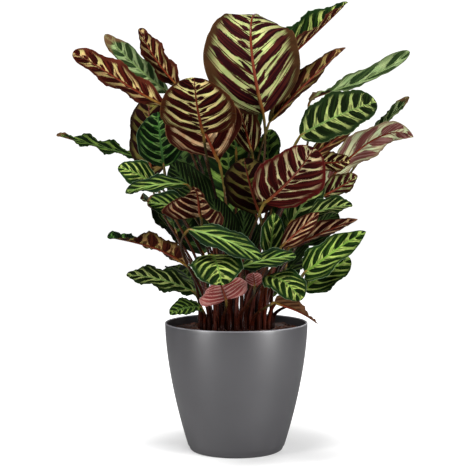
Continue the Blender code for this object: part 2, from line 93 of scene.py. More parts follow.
# Each leaf, in mm and degrees: name, where the blade starts and ends (across, depth, up),
# the way its upper face looks (of any length), width, outline, arch near the base and near
# the tip, fold at the midrib, roll of the margins, twist of the tip, wave height and number.
LEAVES = [
    ("crown", (41, -18, 514), (41, 44, 654), (0, 10, 2), 148, CROWN, (0, 0), 12, 2, 0, 3, 2.0),
    ("front_left", (-50, -80, 483), (-64, -162, 568), (1, 8, 6), 116, ROUND, (-6, -14), 6, 14, 0, 3, 2.2),
    ("behind_left", (-26, -32, 440), (-66, -70, 536), (2, 9, 3), 126, WEDGE, (-4, -8), 8, 10, 0, 3, 2.0),
    ("right_front", (42, -114, 378), (118, -162, 462), (-3, 9, 4), 108, ROUND, (-6, -12), 6, 14, 0, 3, 2.1),
    ("behind_right", (36, -66, 361), (12, -90, 446), (3, 9, 2), 88, ROUND, (-4, -8), 8, 12, 0, 4, 2.3),
    ("top_right", (60, 64, 583), (168, 44, 681), (-4, -4, 8), 86, BROAD, (-1, -1), 38, 6, 0, 4, 2.6),
    ("fold_right", (50, 34, 500), (165, 46, 613), (3, 6, 6), 45, LONG, (2, 8), 44, 0, 20, 4, 2.2),
    ("curl_right", (110, 12, 518), (262, -6, 607), (-3, -5, 8), 35, TIP_WIDE, (0, 0), 26, 0, 40, 4, 2.6),
    ("broad_right", (97, -50, 480), (212, -58, 531), (-4, -8, 5), 84, ROUND, (6, 8), 18, 20, 0, 3, 3.0),
    ("thin_right", (199, 18, 467), (262, 6, 539), (-5, -6, 6), 24, STRAP, (0, 0), 30, 0, 20, 2, 2.0),
    ("dusk_right", (130, -6, 398), (269, 8, 478), (-3, 8, 5), 54, LONG, (20, 40), 10, 16, -20, 5, 2.4),
    ("narrow_right", (103, -38, 440), (190, -32, 503), (3, 8, 4), 32, LONG, (0, 4), 34, 0, 10, 3, 2.0),
    ("small_right", (118, -96, 440), (173, -108, 443), (0, 8, 5), 36, ROUND, (-2, -4), 8, 12, 0, 2, 2.0),
    ("split_right", (130, -60, 388), (184, -72, 420), (-3, 9, 3), 40, OVAL, (-2, -4), 20, 0, 0, 3, 2.0),
    ("low_pale_right", (110, -104, 360), (177, -116, 374), (1, -7, 7), 40, OVAL, (2, 6), 24, 0, 0, 3, 2.4),
    ("pale_behind", (82, -76, 348), (127, -70, 416), (5, -8, 3), 54, OVAL, (2, 4), 16, 0, 0, 4, 2.0),
    ("dark_right", (97, -34, 322), (155, -46, 362), (1, -8, 6), 64, ROUND, (4, 8), 12, 10, 0, 4, 2.0),
    ("fold_low_right", (68, -122, 311), (126, -136, 364), (4, 8, 3), 42, LONG, (-4, -2), 36, 0, 0, 2, 2.0),
    ("beak_right", (80, -110, 309), (185, -114, 353), (2, 8, 6), 34, LONG, (4, 4), 34, 0, -20, 2, 2.0),
    ("bright_right", (104, -142, 272), (198, -140, 334), (-2, -8, 5), 53, BROAD, (2, -4), 14, 10, 50, 5, 2.4),
    ("bright_low", (104, -108, 246), (174, -122, 293), (-1, -8, 5), 54, ROUND, (6, 6), 10, 16, 0, 4, 2.0),
    ("front_low_right", (48, -134, 267), (99, -186, 229), (2, -8, 6), 58, ROUND, (8, 14), 14, 20, 0, 3, 2.0),
    ("dry_right", (58, -118, 226), (126, -134, 191), (2, 5, 8), 36, HEART, (4, 6), 30, 0, 30, 2, 2.0),
    ("front_mid_right", (6, -134, 280), (91, -156, 296), (0, -8, 6), 34, STRAP, (4, 8), 20, 20, 0, 3, 2.5),
    ("front_bright", (-72, -138, 338), (38, -170, 292), (1, -8, 6), 44, STRAP, (8, 12), 12, 20, 0, 3, 2.4),
    ("front_drooping", (-38, -114, 299), (-22, -194, 252), (0, -6, 8), 82, ROUND, (8, 14), 10, 26, 0, 4, 2.0),
    ("pink_left", (-16, -112, 230), (-26, -150, 262), (-3, 8, 6), 80, ROUND, (0, 6), -14, 4, 0, 3, 2.0),
    ("pink_small", (28, -130, 251), (26, -144, 271), (0, 7, 6), 26, ROUND, (0, 2), 6, 0, 0, 1, 2.0),
    ("low_left", (-64, -60, 241), (-168, -72, 268), (-1, -6, 8), 50, STRAP, (8, 8), 16, 16, 10, 4, 2.8),
    ("mid_left", (-73, -32, 280), (-197, -50, 326), (-2, 6, 8), 46, STRAP, (16, 8), 30, 6, -90, 4, 3.0),
    ("small_low_left", (-54, -72, 218), (-102, -104, 207), (-1, -7, 7), 36, OVAL, (6, 6), 16, 0, 0, 2, 2.0),
    ("far_left", (-150, 92, 447), (-273, 66, 481), (0, -6, 8), 32, STRAP, (2, 0), 16, 0, 20, 5, 3.2),
    ("high_left", (-108, -32, 526), (-247, -48, 606), (4, 8, 4), 48, STRAP, (-8, 4), 22, 10, 20, 5, 2.8),
    ("grey_left", (-104, 38, 546), (-198, 50, 633), (-5, -6, 6), 37, STRAP, (-4, -5), 24, 40, 20, 5, 2.6),
    ("top_left", (-86, 16, 553), (-146, 18, 642), (5, 8, 3), 42, STRAP, (0, 4), 18, 10, 0, 5, 2.4),
    ("dark_left", (-129, 44, 416), (-132, 28, 545), (2, 10, 2), 66, OVAL, (-4, -6), 10, 10, 0, 4, 2.4),
    ("emerald", (-110, 2, 433), (-119, -6, 516), (-1, -10, 2), 74, OVAL, (4, 8), 12, 16, 0, 3, 2.2),
    ("green_left_a", (-122, -38, 404), (-180, -50, 432), (-1, -8, 6), 47, OVAL, (6, 8), 14, 10, 0, 3, 2.0),
    ("green_left_b", (-75, -76, 406), (-169, -88, 394), (0, -7, 7), 34, STRAP, (8, 6), 16, 0, 10, 3, 2.4),
    ("green_left_c", (-68, -52, 364), (-136, -66, 378), (0, -8, 6), 46, STRAP, (6, 6), 14, 0, 0, 3, 2.0),
    ("saddle", (-54, -101, 357), (-66, -139, 403), (4, 8, 6), 112, HEART, (2, 10), -26, 6, 0, 5, 2.0),
    ("striped_mid", (24, 2, 455), (3, 24, 538), (3, 9, 2), 48, OVAL, (-2, -4), 12, 10, 0, 3, 2.0),
    ("hanging_mid", (50, -96, 298), (58, -102, 362), (2, -9, 2), 40, OVAL, (2, 2), 14, 0, 0, 2, 2.0),
    ("fill_left", (-40, -25, 356), (-98, -25, 438), (-2, -9, 3), 66, OVAL, (2, 2), 12, 0, 0, 4, 2.0),
    ("fill_left_low", (-13, -64, 306), (-37, -72, 384), (1, -9, 2), 56, OVAL, (4, 4), 14, 0, 0, 3, 2.0),
    ("fill_centre", (8, -36, 282), (12, -34, 370), (1, -9, 2), 56, OVAL, (4, 4), 14, 0, 0, 3, 2.0),
    ("fill_right", (76, -6, 284), (96, -12, 352), (1, -9, 2), 50, OVAL, (4, 4), 14, 0, 0, 3, 2.0),
]

# Hidden from the front: the back and the sides of the clump.
BACK_LEAVES = [
    ("back_top", (0, 72, 450), (-6, 150, 590), (1, -8, 5), 84, ROUND, (6, 14), 8, 10, 0, 4, 2.2),
    ("back_right_top", (54, 102, 396), (52, 150, 490), (-4, -7, 6), 46, OVAL, (10, 16), 12, 10, 10, 4, 2.4),
    ("back_left_top", (-60, 102, 410), (-120, 188, 480), (4, -7, 6), 84, OVAL, (10, 16), 12, 10, -10, 4, 2.4),
    ("back_mid", (-5, 114, 330), (-14, 218, 470), (0, -8, 5), 110, OVAL, (8, 16), 10, 10, 0, 4, 2.4),
    ("back_mid_right", (50, 102, 300), (120, 204, 385), (-3, -7, 6), 88, OVAL, (10, 16), 12, 10, 0, 4, 2.4),
    ("back_mid_left", (-50, 102, 300), (-120, 204, 385), (3, -7, 6), 88, OVAL, (10, 16), 12, 10, 0, 4, 2.4),
    ("side_right", (84, 64, 330), (146, 150, 372), (-5, -3, 8), 70, OVAL, (12, 18), 14, 10, 0, 4, 2.4),
    ("side_left", (-92, 48, 334), (-140, 150, 380), (5, -3, 8), 70, OVAL, (12, 18), 14, 10, 0, 4, 2.4),
    ("back_low", (0, 96, 236), (0, 186, 316), (0, -8, 5), 88, OVAL, (8, 14), 12, 10, 0, 4, 2.4),
    ("back_low_right", (50, 72, 232), (108, 136, 294), (-4, -5, 7), 66, OVAL, (10, 14), 12, 10, 0, 4, 2.2),
    ("back_low_left", (-50, 72, 232), (-104, 144, 280), (4, -5, 7), 64, OVAL, (10, 14), 12, 10, 0, 4, 2.2),
]

# Blades whose curve is more than an arch: the two guide points between start and end, in mm.
GUIDES = {
    "crown": ((24, -50, 568), (7, -34, 698)),
    "fold_right": ((85, 36, 544), (132, 40, 584)),
    "curl_right": ((99, 14, 556), (168, 6, 530)),
    "bright_right": ((126, -156, 284), (161, -154, 318)),
    "dusk_right": ((160, -2, 443), (226, 4, 507)),
    "grey_left": ((-134, 42, 567), (-164, 46, 595)),
    "top_left": ((-110, 17, 578), (-133, 18, 606)),
}

# How finely the curves are followed, where the twist starts along the blade, and how its
# margins swell and wave, with the left one out of step with the right one.
CURVE_STEPS = 60
SECTION_STEPS = 8
TWIST_START = 0.4
SWELL = 0.9
SWELL_PHASES = (0.4, 0.8)
WAVE_PHASES = (0.15, 0.52)

# What the picture adds to the solids, in metres where it is a length. A reach is a share of
# the way from the midrib to the margin, and the mesh is finest at both.
LEAF_THICKNESS = 0.00045
CRINKLE = 0.0011
CRINKLE_RATES = (4.3, 7.1)
CRINKLE_SHIFTS = (0.37, 0.11)
PLEAT = 0.0006
STATION_LENGTH = 0.0023
STATION_COUNTS = (26, 66)
BLADE_ENDS = 0.03
REACHES = (0, 0.015, 0.04, 0.08, 0.14, 0.21, 0.29, 0.37, 0.45,
           0.53, 0.61, 0.69, 0.76, 0.83, 0.89, 0.94, 0.975, 1)
STALK_SIDES = 10
STALK_RIDGES = 14
STALK_STATIONS = 26
RIB_STATIONS = 22
RIB_RADIUS = 0.0010
RIB_SHARE = 0.010
RIB_TIP_RADIUS = 0.0004
RIB_SPAN = (0.02, 0.94)
STALK_DEPTH = 0.012
JOINT_SWELL = 0.0006
JOINT_PLACE = 0.955
JOINT_LENGTH = 0.035
SHEATH = 0.0010
SHEATH_SHARE = 0.40
LEFT_VEIN_SHIFT = 0.45
DRY_FADE = 0.10

# The mound of soil, how far inside the pot's outside it stays, and the bark on it.
SOIL_BASE = 0.0055
SOIL_FOOT_INSET = 0.0065
SOIL_INSET = 0.0038
MOUND_EDGE = 0.182
MOUND_RISE = 0.0048
MOUND_RADIUS = 0.104
MOUND_SEED = 11
CHIP_COUNT = 1500
CHIP_SPREAD = 0.1015

# How each blade is coloured, above and below, and how its side veins run: their number along
# the midrib, how far they lean to the tip on the way out, and how much more they bend to it.
# The last number is from where along the blade it has dried, and over 1.1 it hasn't. Below 0,
# it has dried from its foot up to there.
LOOKS = {
    "crown": ("deep", "burgundy", 6.8, 0.85, 0.25, 1.20),
    "front_left": ("deep", "sepia", 5.2, 0.42, 0.60, 1.20),
    "behind_left": ("deep", "copper", 4.2, 0.75, 0.45, 1.20),
    "right_front": ("deep", "wine", 5.6, 0.62, 0.45, 1.20),
    "behind_right": ("deep", "shade", 4.4, 0.50, 0.50, 1.20),
    "top_right": ("bright", "russet", 5.8, 0.90, 0.40, 1.20),
    "fold_right": ("deep", "bronze", 4.6, 1.80, 0.60, 0.93),
    "curl_right": ("silver", "umber", 4.6, 1.60, 0.40, -0.36),
    "broad_right": ("ovals", "burgundy", 6.9, 0.45, 0.20, 1.20),
    "thin_right": ("silver", "russet", 4.0, 2.00, 0.40, 0.85),
    "dusk_right": ("deep", "dusk", 3.6, 1.70, 0.40, 0.97),
    "narrow_right": ("deep", "bronze", 4.1, 2.20, 0.50, 1.20),
    "small_right": ("deep", "sepia", 4.0, 0.90, 0.30, 1.20),
    "split_right": ("silver", "burgundy", 4.0, 1.20, 0.30, 0.94),
    "low_pale_right": ("ovals", "dusk", 4.6, 1.60, 0.40, 1.20),
    "pale_behind": ("ovals", "burgundy", 4.1, 1.40, 0.40, 1.20),
    "dark_right": ("painted_shade_green", "shade", 8.0, 1.80, 0.50, 1.20),
    "fold_low_right": ("deep", "copper", 3.9, 2.20, 0.50, 1.20),
    "beak_right": ("deep", "copper", 3.9, 2.60, 0.60, 0.90),
    "bright_right": ("lime", "burgundy", 5.2, 1.20, 1.60, 1.20),
    "bright_low": ("lime", "burgundy", 5.0, 1.05, 1.50, 1.20),
    "front_low_right": ("bright", "burgundy", 5.0, 0.95, 0.90, 1.20),
    "dry_right": ("dry", "dry", 5.8, 1.60, 0.40, 0.50),
    "front_mid_right": ("striped", "burgundy", 4.6, 2.60, 0.60, 1.20),
    "front_bright": ("striped", "burgundy", 4.6, 3.00, 0.60, 1.20),
    "front_drooping": ("bright", "burgundy", 5.6, 0.70, 0.60, 1.20),
    "pink_left": ("bright", "pink", 8.0, 0.50, 0.20, 1.20),
    "pink_small": ("bright", "pink", 5.8, 0.50, 0.20, 1.20),
    "low_left": ("ovals", "russet", 6.3, 1.00, 0.60, 1.20),
    "mid_left": ("emerald", "bronze", 6.3, 0.15, 0.10, 1.20),
    "small_low_left": ("deep", "shade", 5.8, 0.80, 0.40, 1.20),
    "far_left": ("deep", "bronze", 4.6, 2.20, 0.50, 0.90),
    "high_left": ("deep", "russet", 5.3, 1.30, 0.35, 1.20),
    "grey_left": ("silver", "russet", 5.8, 1.20, 0.40, 0.84),
    "top_left": ("deep", "russet", 5.1, 1.30, 0.35, 1.20),
    "dark_left": ("deep", "shade", 6.9, 0.70, 0.40, 1.20),
    "emerald": ("emerald", "burgundy", 6.4, 0.45, 0.60, 1.20),
    "green_left_a": ("bright", "burgundy", 4.6, 1.30, 0.40, 1.20),
    "green_left_b": ("striped", "burgundy", 4.6, 2.40, 0.50, 1.20),
    "green_left_c": ("striped", "burgundy", 4.8, 1.60, 0.50, 0.93),
    "saddle": ("deep", "copper", 5.0, 0.60, 0.60, 1.20),
    "striped_mid": ("deep", "sepia", 3.7, 2.40, 0.40, 1.20),
    "hanging_mid": ("bright", "burgundy", 3.0, 1.80, 0.80, 1.20),
}
# The same for the leaves of the thicket, whose names start with fill, and for those behind. Their very dark
# faces are partly painted shade of the inside of the clump.
THICKET_LOOK = ("painted_shade_green", "shade", 8.0, 1.80, 0.50, 1.20)
BACK_LOOKS = (("deep", "burgundy"), ("painted_shade_green", "wine"), ("deep", "russet"))
BACK_VEINS = (5.0, 0.60, 0.30, 1.20)


def unit(vectors):
    """The same directions with a length of one."""
    return vectors / np.linalg.norm(vectors, axis=-1, keepdims=True)


def seen_from_front(point):
    """A point of the front view, in mm, at its own depth in metres."""
    across, depth, up = point
    scale = 1.0 + depth / 1000.0 / EYE_DISTANCE
    height = EYE_HEIGHT + (up / 1000.0 - EYE_HEIGHT) * scale
    return np.array([across / 1000.0 * scale, depth / 1000.0, height])


def frames_along(points, facing, facing_at):
    """Places, directions and facing normals along a curve, with no twist of their own."""
    a, b, c, d = points
    t = np.linspace(0, 1, CURVE_STEPS + 1)[:, None]
    s = 1.0 - t
    places = s**3 * a + 3 * s * s * t * b + 3 * s * t * t * c + t**3 * d
    count = np.arange(CURVE_STEPS + 1)
    ways = unit(places[np.minimum(count + 1, CURVE_STEPS)] - places[np.maximum(count - 1, 0)])
    normals = np.zeros_like(places)
    middle = int(facing_at * CURVE_STEPS)
    normals[middle] = unit(facing - ways[middle] * facing.dot(ways[middle]))
    for i in range(middle + 1, CURVE_STEPS + 1):
        normals[i] = unit(normals[i - 1] - ways[i] * normals[i - 1].dot(ways[i]))
    for i in range(middle - 1, -1, -1):
        normals[i] = unit(normals[i + 1] - ways[i] * normals[i + 1].dot(ways[i]))
    return places, ways, normals


def at(values, t):
    """The values at each t, from 0 to 1, between the steps of a curve."""
    spot = np.clip(t, 0, 1) * CURVE_STEPS
    low = np.minimum(spot.astype(int), CURVE_STEPS - 1)
    share = (spot - low)[..., None]
    return values[low] * (1 - share) + values[low + 1] * share


def half_width(leaf, t):
    """Half the blade's width in metres, narrowed where the leaf is nearer to the eye."""
    width = leaf[4] / 1000.0 * (1 + leaf[1][1] / 1000.0 / EYE_DISTANCE)
    shift, base_fullness, tip_fullness = leaf[5]
    fullness = np.where(t < 0.5 ** (1 / shift), base_fullness, tip_fullness)
    return width / 2 * np.sin(math.pi * np.clip(t, 0.0005, 0.9995) ** shift) ** fullness


def rib_base(leaf):
    """The midrib's radius where the blade starts: a broad blade has a thick one."""
    return RIB_RADIUS + RIB_SHARE * leaf[4] / 1000.0


def blade_curve(leaf):
    """The four points of the midrib's curve, and the way the blade's upper face looks."""
    start = seen_from_front(leaf[1])
    end = seen_from_front(leaf[2])
    chord = end - start
    facing = np.array(leaf[3], float)
    if leaf[0] in GUIDES:
        first, second = (seen_from_front(point) for point in GUIDES[leaf[0]])
        return (start, first, second, end), facing
    lift = unit(facing - unit(chord) * facing.dot(unit(chord)))
    near, far = leaf[6]
    first = start + chord * 0.33 + lift * near / 1000.0 * 1.33
    second = start + chord * 0.67 + lift * far / 1000.0 * 1.33
    return (start, first, second, end), facing


def stem_curve(root, start, way):
    """From just above the soil, where the stalk is upright, to the foot of the blade."""
    foot = np.array([root[0], root[1], STEM_CLEAR])
    away = np.linalg.norm(start - foot)
    neck = unit(way + np.array([0.0, 0.0, STEM_NECK_LIFT]))
    rise = np.array([0.0, 0.0, STEM_UPRIGHT * (start[2] - foot[2])])
    return foot, foot + rise, start - neck * away * STEM_NECK, start


def spread_round(angles, gap):
    """Angles in rising order, moved apart until each is a gap from the next one round."""
    angles = list(angles)
    for _ in range(200):
        for i in range(len(angles)):
            after = (i + 1) % len(angles)
            turn = 2 * math.pi if after == 0 else 0.0
            short = gap - (angles[after] + turn - angles[i])
            if len(angles) > 1 and short > 0:
                angles[i] -= short / 2
                angles[after] += short / 2
    return angles


def give_roots(leaves):
    """The steepest leaves stand in the middle, and each ring goes round in their order."""
    def steepness(leaf):
        start = seen_from_front(leaf[1])
        return (start[2] - SOIL_TOP) / (math.hypot(start[0], start[1]) + 0.01)

    order = sorted(leaves, key=steepness, reverse=True)
    roots = {}
    taken = 0
    for radius, room in zip(STEM_RING_RADII, STEM_RING_COUNTS):
        ring = order[taken:taken + room]
        taken += room
        if not ring:
            break
        sides = {}
        for leaf in ring:
            start = seen_from_front(leaf[1])
            sides[leaf[0]] = math.atan2(start[1], start[0])
        ring.sort(key=lambda leaf: sides[leaf[0]])
        gap = STEM_SPACING / max(radius, 0.001)
        angles = spread_round([sides[leaf[0]] for leaf in ring], gap)
        for leaf, angle in zip(ring, angles):
            roots[leaf[0]] = (radius * math.cos(angle), radius * math.sin(angle))
    return roots


def pot_radius(height):
    """The outside radius: nearly upright at the rim, and drawn in more and more below."""
    return POT_RIM_RADIUS - POT_TAPER * (1 - height / POT_HEIGHT) ** POT_TAPER_POWER


def put(name, data):
    """A mesh, lamp or camera as a piece of the scene."""
    piece = bpy.data.objects.new(name, data)
    bpy.context.scene.collection.objects.link(piece)
    return piece


class Skin:
    """Points, faces, each face's material and four maps, gathered for one mesh.

    The place map is in centimetres along and beside the midrib. The veins map counts side
    veins along it and has the reach across. The rib map has the way along the stalk or midrib
    and round or beside it. The age map has how dry the leaf is there, and its number.
    """

    def __init__(self):
        self.points, self.faces, self.kinds = [], [], []
        self.maps = {"place": [], "veins": [], "rib": [], "age": []}

    def add(self, points, faces, kind, *maps):
        first = len(self.points)
        self.points.extend(points)
        self.faces.extend([first + corner for corner in face] for face in faces)
        self.kinds.extend([kind] * len(faces))
        for name, values in zip(self.maps, maps):
            self.maps[name].extend(values)

    def make(self, name, materials):
        mesh = bpy.data.meshes.new(name)
        mesh.from_pydata(self.points, [], self.faces)
        for material in materials:
            mesh.materials.append(material)
        mesh.polygons.foreach_set("material_index", self.kinds)
        mesh.polygons.foreach_set("use_smooth", [True] * len(self.faces))
        corners = np.zeros(len(mesh.loops), int)
        mesh.loops.foreach_get("vertex_index", corners)
        for layer, values in self.maps.items():
            made = mesh.uv_layers.new(name=layer)
            made.uv.foreach_set("vector", np.array(values, np.float32)[corners].ravel())
        mesh.update()
        return put(name, mesh)


def grid_faces(rows, columns, wrap=False):
    """Quads over a grid of points, that face along column step times row step."""
    faces = []
    for i in range(rows - 1):
        for j in range(columns if wrap else columns - 1):
            k = (j + 1) % columns
            a, b = i * columns + j, i * columns + k
            faces.append((a, b, b + columns, a + columns))
    return faces


def add_blade(skin, leaf, frames, veins, number):
    """The thin blade: a face above, one below, and the margin round it."""
    fold, roll, twist, wave, waves = leaf[7:12]
    places, ways, normals = frames
    steps = np.linalg.norm(np.diff(places, axis=0), axis=1)
    length = steps.sum()
    count = int(np.clip(length / STATION_LENGTH, *STATION_COUNTS))
    t = 0.5 - 0.5 * np.cos(np.linspace(BLADE_ENDS, math.pi - BLADE_ENDS, count))
    t = (0.65 * t + 0.35 * np.linspace(t[0], t[-1], count))[:, None]
    across = np.array([-r for r in REACHES[:0:-1]] + list(REACHES))[None, :]
    reach, hand = np.abs(across), np.where(across > 0, 1.0, -1.0)
    way = unit(at(ways, t))
    normal = unit(at(normals, t))
    turn = np.radians(twist) * (np.maximum(0, t - TWIST_START) / (1 - TWIST_START)) ** 1.5
    turn = turn[..., None]
    normal = normal * np.cos(turn) + np.cross(way, normal) * np.sin(turn)
    side = np.cross(way, normal)
    swell = np.sin(2 * math.pi * (waves * t + np.where(across > 0, *SWELL_PHASES)))
    half = half_width(leaf, t) * (1 + SWELL * wave / leaf[4] * swell)
    out, up = 0.0, 0.0
    for k in range(SECTION_STEPS):
        angle = np.radians(fold - roll * (k + 0.5) / SECTION_STEPS * reach)
        out = out + np.cos(angle) * reach / SECTION_STEPS
        up = up + np.sin(angle) * reach / SECTION_STEPS
    fade = np.sin(math.pi * np.clip(t, 0.02, 0.98)) ** 0.5
    ruffle = np.sin(2 * math.pi * (waves * t + np.where(across > 0, *WAVE_PHASES)))
    ruffle = ruffle * wave / 1000.0 * reach**2 * fade
    # Between its waves the margin crinkles finely, and the side veins pleat the blade.
    slow, fast = CRINKLE_RATES
    slow_shift, fast_shift = CRINKLE_SHIFTS
    crinkle = np.sin(2 * math.pi * (waves * slow * t + leaf[4] * slow_shift * hand))
    crinkle = crinkle + 0.6 * np.sin(2 * math.pi * (waves * fast * t + leaf[4] * fast_shift))
    ruffle = ruffle + CRINKLE * crinkle * reach**5 * fade
    bars, slant, bend, dry_from = veins
    along = length * t + 0 * across
    beside = reach * half
    lean = slant * (0.85 + 0.3 * t) * beside + bend * beside**3 / half.max() ** 2
    foot = (along - lean) / length
    phase = bars * foot
    pleat = np.cos(2 * math.pi * (phase + LEFT_VEIN_SHIFT * (across < 0)))
    pleat = PLEAT * pleat * np.sin(math.pi * np.clip(reach, 0, 1)) * fade
    middle = at(places, t) + side * (hand * out * half)[..., None]
    middle = middle + normal * (up * half + ruffle)[..., None]
    slope = (np.radians(fold - roll * reach) * hand)[..., None]
    above = unit(normal * np.cos(slope) - side * np.sin(slope))
    thick = LEAF_THICKNESS / 2 * (1 - 0.6 * reach**6)
    rows, columns = count, across.shape[1]
    place = np.stack([along * 100, hand * beside * 100], -1).reshape(-1, 2)
    vein = np.stack([phase, 0 * t + across], -1).reshape(-1, 2)
    rib_width = rib_base(leaf) * 1.05 * (1 - t) ** 0.8 + RIB_TIP_RADIUS
    rib = np.stack([0 * across + t, hand * beside / rib_width], -1).reshape(-1, 2)
    # Dry tissue starts at the tip and reaches furthest down the margins, or it is at the foot.
    dried = DRY_FADE * reach**2 + (t - dry_from if dry_from > 0 else -dry_from - t)
    dry = np.clip(dried / DRY_FADE, 0, 1)
    age = np.stack([dry, 0 * dry + number], -1).reshape(-1, 2)
    upper = (middle + above * (thick + pleat)[..., None]).reshape(-1, 3)
    lower = (middle + above * (pleat - thick)[..., None]).reshape(-1, 3)
    flat = grid_faces(rows, columns)
    skin.add(upper.tolist(), flat, 0, place, vein, rib, age)
    edge = []
    size = rows * columns
    for i in range(rows - 1):
        a, b = i * columns, (i + 1) * columns
        edge.append((a - size, b - size, b, a))
        a, b = a + columns - 1, b + columns - 1
        edge.append((a - size, a, b, b - size))
    for j in range(columns - 1):
        edge.append((j - size, j, j + 1, j + 1 - size))
        a = (rows - 1) * columns + j
        edge.append((a - size, a + 1 - size, a + 1, a))
    skin.add(lower.tolist(), [face[::-1] for face in flat] + edge, 1, place, vein, rib, age)


def add_stalk(skin, leaf, frames, stem, root, number):
    """One tapering round skin: the stalk, its swollen joint, and the midrib under the blade."""
    places, ways, normals = frames
    stem_places, stem_ways, stem_normals = stem
    t = np.linspace(0, 1, STALK_STATIONS)
    level = unit(stem_normals[0] * np.array([1.0, 1.0, 0.0]))
    foot = np.array([root[0], root[1], SOIL_TOP - STALK_DEPTH])
    centres = [foot[None, :], at(stem_places, t)]
    lines = [np.array([[0.0, 0.0, 1.0]]), unit(at(stem_ways, t))]
    fronts = [level[None, :], at(stem_normals, t)]
    joint = np.exp(-(((t - JOINT_PLACE) / JOINT_LENGTH) ** 2)) * JOINT_SWELL
    stalk_radius = STEM_RADIUS_FOOT + (STEM_RADIUS_NECK - STEM_RADIUS_FOOT) * t + joint
    sheath = SHEATH * np.clip(1 - t / SHEATH_SHARE, 0, 1) ** 0.8
    radii = [np.array([stalk_radius[0] + sheath[0]]), stalk_radius + sheath]
    u = np.linspace(*RIB_SPAN, RIB_STATIONS)
    rib_radius = rib_base(leaf) * (1 - u) ** 0.8 + RIB_TIP_RADIUS
    rib_normal = unit(at(normals, u))
    past = np.maximum(0, (u - TWIST_START) / (1 - TWIST_START))
    turn = (np.radians(leaf[9]) * past**1.5)[:, None]
    rib_way = unit(at(ways, u))
    rib_normal = rib_normal * np.cos(turn) + np.cross(rib_way, rib_normal) * np.sin(turn)
    sink = np.minimum(1, u / 0.08) * (rib_radius - LEAF_THICKNESS * 0.4)
    centres.append(at(places, u) - rib_normal * sink[:, None])
    lines.append(rib_way)
    fronts.append(rib_normal)
    radii.append(rib_radius)
    centres, lines, fronts = (np.concatenate(x) for x in (centres, lines, fronts))
    radii = np.concatenate(radii)
    fronts = unit(fronts - lines * (lines * fronts).sum(-1, keepdims=True))
    sides = np.cross(lines, fronts)
    angle = (2 * math.pi * np.arange(STALK_SIDES) / STALK_SIDES)[None, :, None]
    ring = sides[:, None] * np.cos(angle) + fronts[:, None] * np.sin(angle)
    points = centres[:, None] + ring * radii[:, None, None]
    count = len(radii)
    share = np.concatenate([[0.0], t, 1 + u])[:, None] + np.zeros((1, STALK_SIDES))
    turn_share = np.zeros((count, 1)) + np.arange(STALK_SIDES)[None, :] / STALK_SIDES
    maps = np.stack([share, turn_share], -1).reshape(-1, 2)
    faces = grid_faces(count, STALK_SIDES, wrap=True)
    last = (count - 1) * STALK_SIDES
    faces.append(tuple(last + k for k in range(STALK_SIDES)))
    age = np.array([0.0, number]) + 0 * maps
    skin.add(points.reshape(-1, 3).tolist(), faces, 2, maps, maps, maps, age)


def linear(code):
    """A screen colour, written as on a paint chart, as light."""
    parts = [int(code[i:i + 2], 16) / 255 for i in (1, 3, 5)]
    light = [p / 12.92 if p <= 0.04045 else ((p + 0.055) / 1.055) ** 2.4 for p in parts]
    return (*light, 1.0)


def add(tree, kind, inputs=None, **settings):
    """The first output of a new node, from its settings and its inputs.

    An input is a value or another node's output. The node's other outputs are reached by
    way of the one that is returned.
    """
    node = tree.nodes.new("ShaderNode" + kind)
    for name, value in settings.items():
        setattr(node, name, value)
    for name, value in (inputs or {}).items():
        if isinstance(value, bpy.types.NodeSocket):
            tree.links.new(value, node.inputs[name])
        else:
            node.inputs[name].default_value = value
    return node.outputs[0]


def new_material(name, **surface):
    """An empty node tree with one shader in it, and that shader's plain values."""
    material = bpy.data.materials.new(name)
    material.use_nodes = True
    shader = material.node_tree.nodes["Principled BSDF"]
    for socket, value in surface.items():
        shader.inputs[socket.replace("_", " ")].default_value = value
    return material, material.node_tree, shader


def feed(tree, node, **outputs):
    """Links other nodes' outputs to the node's own sockets, by their names."""
    for socket, output in outputs.items():
        tree.links.new(output, node.inputs[socket.replace("_", " ")])


